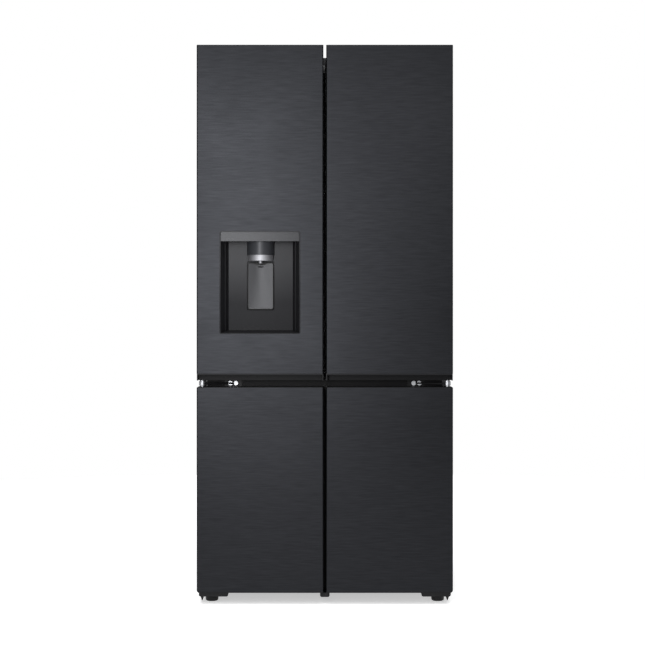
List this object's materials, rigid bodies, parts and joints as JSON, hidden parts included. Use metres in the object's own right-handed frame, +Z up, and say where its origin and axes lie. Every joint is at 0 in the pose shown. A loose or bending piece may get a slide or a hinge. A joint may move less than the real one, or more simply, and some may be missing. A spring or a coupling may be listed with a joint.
{
  "type": "french door refrigerator",
  "caption": "Tall four-door refrigerator with a water dispenser in one upper door, hinged doors, pull-out drawers, feet and rear rollers.",
  "frame": {"origin": "on the floor, under the centre of the overall box", "axes": "+X to the right seen from the front, -Y is the front, +Z is up"},
  "size_m": [0.826, 0.73, 1.806],
  "materials": {
    "door_steel": "satin",
    "cabinet_paint": "satin",
    "rail_paint": "satin",
    "galvanised": "satin",
    "zinc": "satin",
    "black_steel": "satin",
    "cap_plastic": "satin",
    "dispenser_plastic": "satin",
    "grey_plastic": "satin",
    "nozzle_chrome": "polished",
    "gasket_rubber": "matte",
    "foot_plastic": "satin",
    "liner_plastic": "satin",
    "foam": "matte",
    "clear_plastic": "gloss",
    "shelf_glass": "gloss",
    "white_plastic": "satin",
    "compressor_paint": "gloss",
    "coil_aluminium": "satin"
  },
  "bodies": {
    "cabinet": {"cabinet_wrapper": "cabinet_paint", "back_panel": "galvanised", "cabinet_foam": "foam", "fridge_liner": "liner_plastic", "freezer_liner": "liner_plastic", "front_rails": "rail_paint", "base_frame": "galvanised", "door_hinges": "zinc", "hinge_covers": "cap_plastic", "door_brackets": "black_steel", "mullion_guide": "grey_plastic", "compressor": "compressor_paint", "condenser": "coil_aluminium", "machine_cover": "galvanised", "water_valve": "white_plastic", "cord_gland": "cap_plastic", "evaporator": "coil_aluminium", "duct_covers": "liner_plastic", "shelf_frames": "white_plastic", "shelf_glass": "shelf_glass", "drawer_rails": "white_plastic"},
    "upper_left_door": {"upper_left_skin": "door_steel", "upper_left_foam": "foam", "upper_left_liner": "liner_plastic", "upper_left_caps": "cap_plastic", "upper_left_gasket": "gasket_rubber", "upper_left_bins": "clear_plastic", "ice_maker_case": "white_plastic", "dispenser_recess": "dispenser_plastic", "dispenser_bar": "grey_plastic", "nozzle": "dispenser_plastic", "nozzle_ring": "nozzle_chrome"},
    "upper_right_door": {"upper_right_skin": "door_steel", "upper_right_foam": "foam", "upper_right_liner": "liner_plastic", "upper_right_caps": "cap_plastic", "upper_right_gasket": "gasket_rubber", "upper_right_bins": "clear_plastic"},
    "lower_left_door": {"lower_left_skin": "door_steel", "lower_left_foam": "foam", "lower_left_liner": "liner_plastic", "lower_left_caps": "cap_plastic", "lower_left_gasket": "gasket_rubber"},
    "lower_right_door": {"lower_right_skin": "door_steel", "lower_right_foam": "foam", "lower_right_liner": "liner_plastic", "lower_right_caps": "cap_plastic", "lower_right_gasket": "gasket_rubber"},
    "condenser_fan_wheel": {"condenser_fan": "white_plastic"},
    "evaporator_fan_wheel": {"evaporator_fan": "white_plastic"},
    "left_foot_screw": {"left_foot": "foot_plastic"},
    "right_foot_screw": {"right_foot": "foot_plastic"},
    "left_roller_wheel": {"left_roller": "white_plastic"},
    "right_roller_wheel": {"right_roller": "white_plastic"},
    "left_freezer_drawers": {"left_drawer_pair": "clear_plastic"},
    "right_freezer_drawers": {"right_drawer_pair": "clear_plastic"},
    "left_crisper_tub": {"left_crisper": "clear_plastic"},
    "right_crisper_tub": {"right_crisper": "clear_plastic"},
    "paddle_lever": {"paddle": "grey_plastic"},
    "mullion": {"mullion_bar": "grey_plastic"}
  },
  "joints": [
    {"name": "upper_left_door_hinge", "type": "hinge", "parent": "cabinet", "child": "upper_left_door", "pos_m": [-0.399, -0.31, 1.265], "axis": [0, 0, -1], "range_deg": [0, 125]},
    {"name": "upper_right_door_hinge", "type": "hinge", "parent": "cabinet", "child": "upper_right_door", "pos_m": [0.399, -0.31, 1.265], "axis": [0, 0, 1], "range_deg": [0, 125]},
    {"name": "lower_left_door_hinge", "type": "hinge", "parent": "cabinet", "child": "lower_left_door", "pos_m": [-0.399, -0.31, 0.371], "axis": [0, 0, -1], "range_deg": [0, 125]},
    {"name": "lower_right_door_hinge", "type": "hinge", "parent": "cabinet", "child": "lower_right_door", "pos_m": [0.399, -0.31, 0.371], "axis": [0, 0, 1], "range_deg": [0, 125]},
    {"name": "mullion_fold", "type": "hinge", "parent": "upper_left_door", "child": "mullion", "pos_m": [-0.043, -0.2485, 1.245], "axis": [0, 0, 1], "range_deg": [0, 90]},
    {"name": "paddle_press", "type": "hinge", "parent": "upper_left_door", "child": "paddle_lever", "pos_m": [-0.209, -0.296, 1.0945], "axis": [1, 0, 0], "range_deg": [0, 4], "stiffness_Nm_per_rad": 3},
    {"name": "left_crisper_slide", "type": "slide", "parent": "cabinet", "child": "left_crisper_tub", "axis": [0, -1, 0], "range_m": [0, 0.28]},
    {"name": "left_freezer_drawers_slide", "type": "slide", "parent": "cabinet", "child": "left_freezer_drawers", "axis": [0, -1, 0], "range_m": [0, 0.22]},
    {"name": "right_crisper_slide", "type": "slide", "parent": "cabinet", "child": "right_crisper_tub", "axis": [0, -1, 0], "range_m": [0, 0.28]},
    {"name": "right_freezer_drawers_slide", "type": "slide", "parent": "cabinet", "child": "right_freezer_drawers", "axis": [0, -1, 0], "range_m": [0, 0.22]},
    {"name": "condenser_fan_spin", "type": "hinge", "parent": "cabinet", "child": "condenser_fan_wheel", "pos_m": [-0.02, 0.256, 0.18], "axis": [1, 0, 0], "continuous": true},
    {"name": "evaporator_fan_spin", "type": "hinge", "parent": "cabinet", "child": "evaporator_fan_wheel", "pos_m": [0, 0.28, 1.61], "axis": [0, 1, 0], "continuous": true},
    {"name": "left_foot_turn", "type": "hinge", "parent": "cabinet", "child": "left_foot_screw", "pos_m": [-0.37, -0.27, 0.015], "axis": [0, 0, 1], "continuous": true},
    {"name": "left_roller_spin", "type": "hinge", "parent": "cabinet", "child": "left_roller_wheel", "pos_m": [-0.365, 0.318, 0.02], "axis": [1, 0, 0], "continuous": true},
    {"name": "right_foot_turn", "type": "hinge", "parent": "cabinet", "child": "right_foot_screw", "pos_m": [0.37, -0.27, 0.015], "axis": [0, 0, 1], "continuous": true},
    {"name": "right_roller_spin", "type": "hinge", "parent": "cabinet", "child": "right_roller_wheel", "pos_m": [0.365, 0.318, 0.02], "axis": [1, 0, 0], "continuous": true}
  ],
  "couplings": [
    {"joint": "mullion_fold", "follows": "upper_left_door_hinge", "ratio": 0.72},
    {"joint": "left_crisper_slide", "follows": "upper_left_door_hinge", "m_per_rad": 0.128},
    {"joint": "right_crisper_slide", "follows": "upper_right_door_hinge", "m_per_rad": 0.128},
    {"joint": "left_freezer_drawers_slide", "follows": "lower_left_door_hinge", "m_per_rad": 0.1},
    {"joint": "right_freezer_drawers_slide", "follows": "lower_right_door_hinge", "m_per_rad": 0.1}
  ]
}
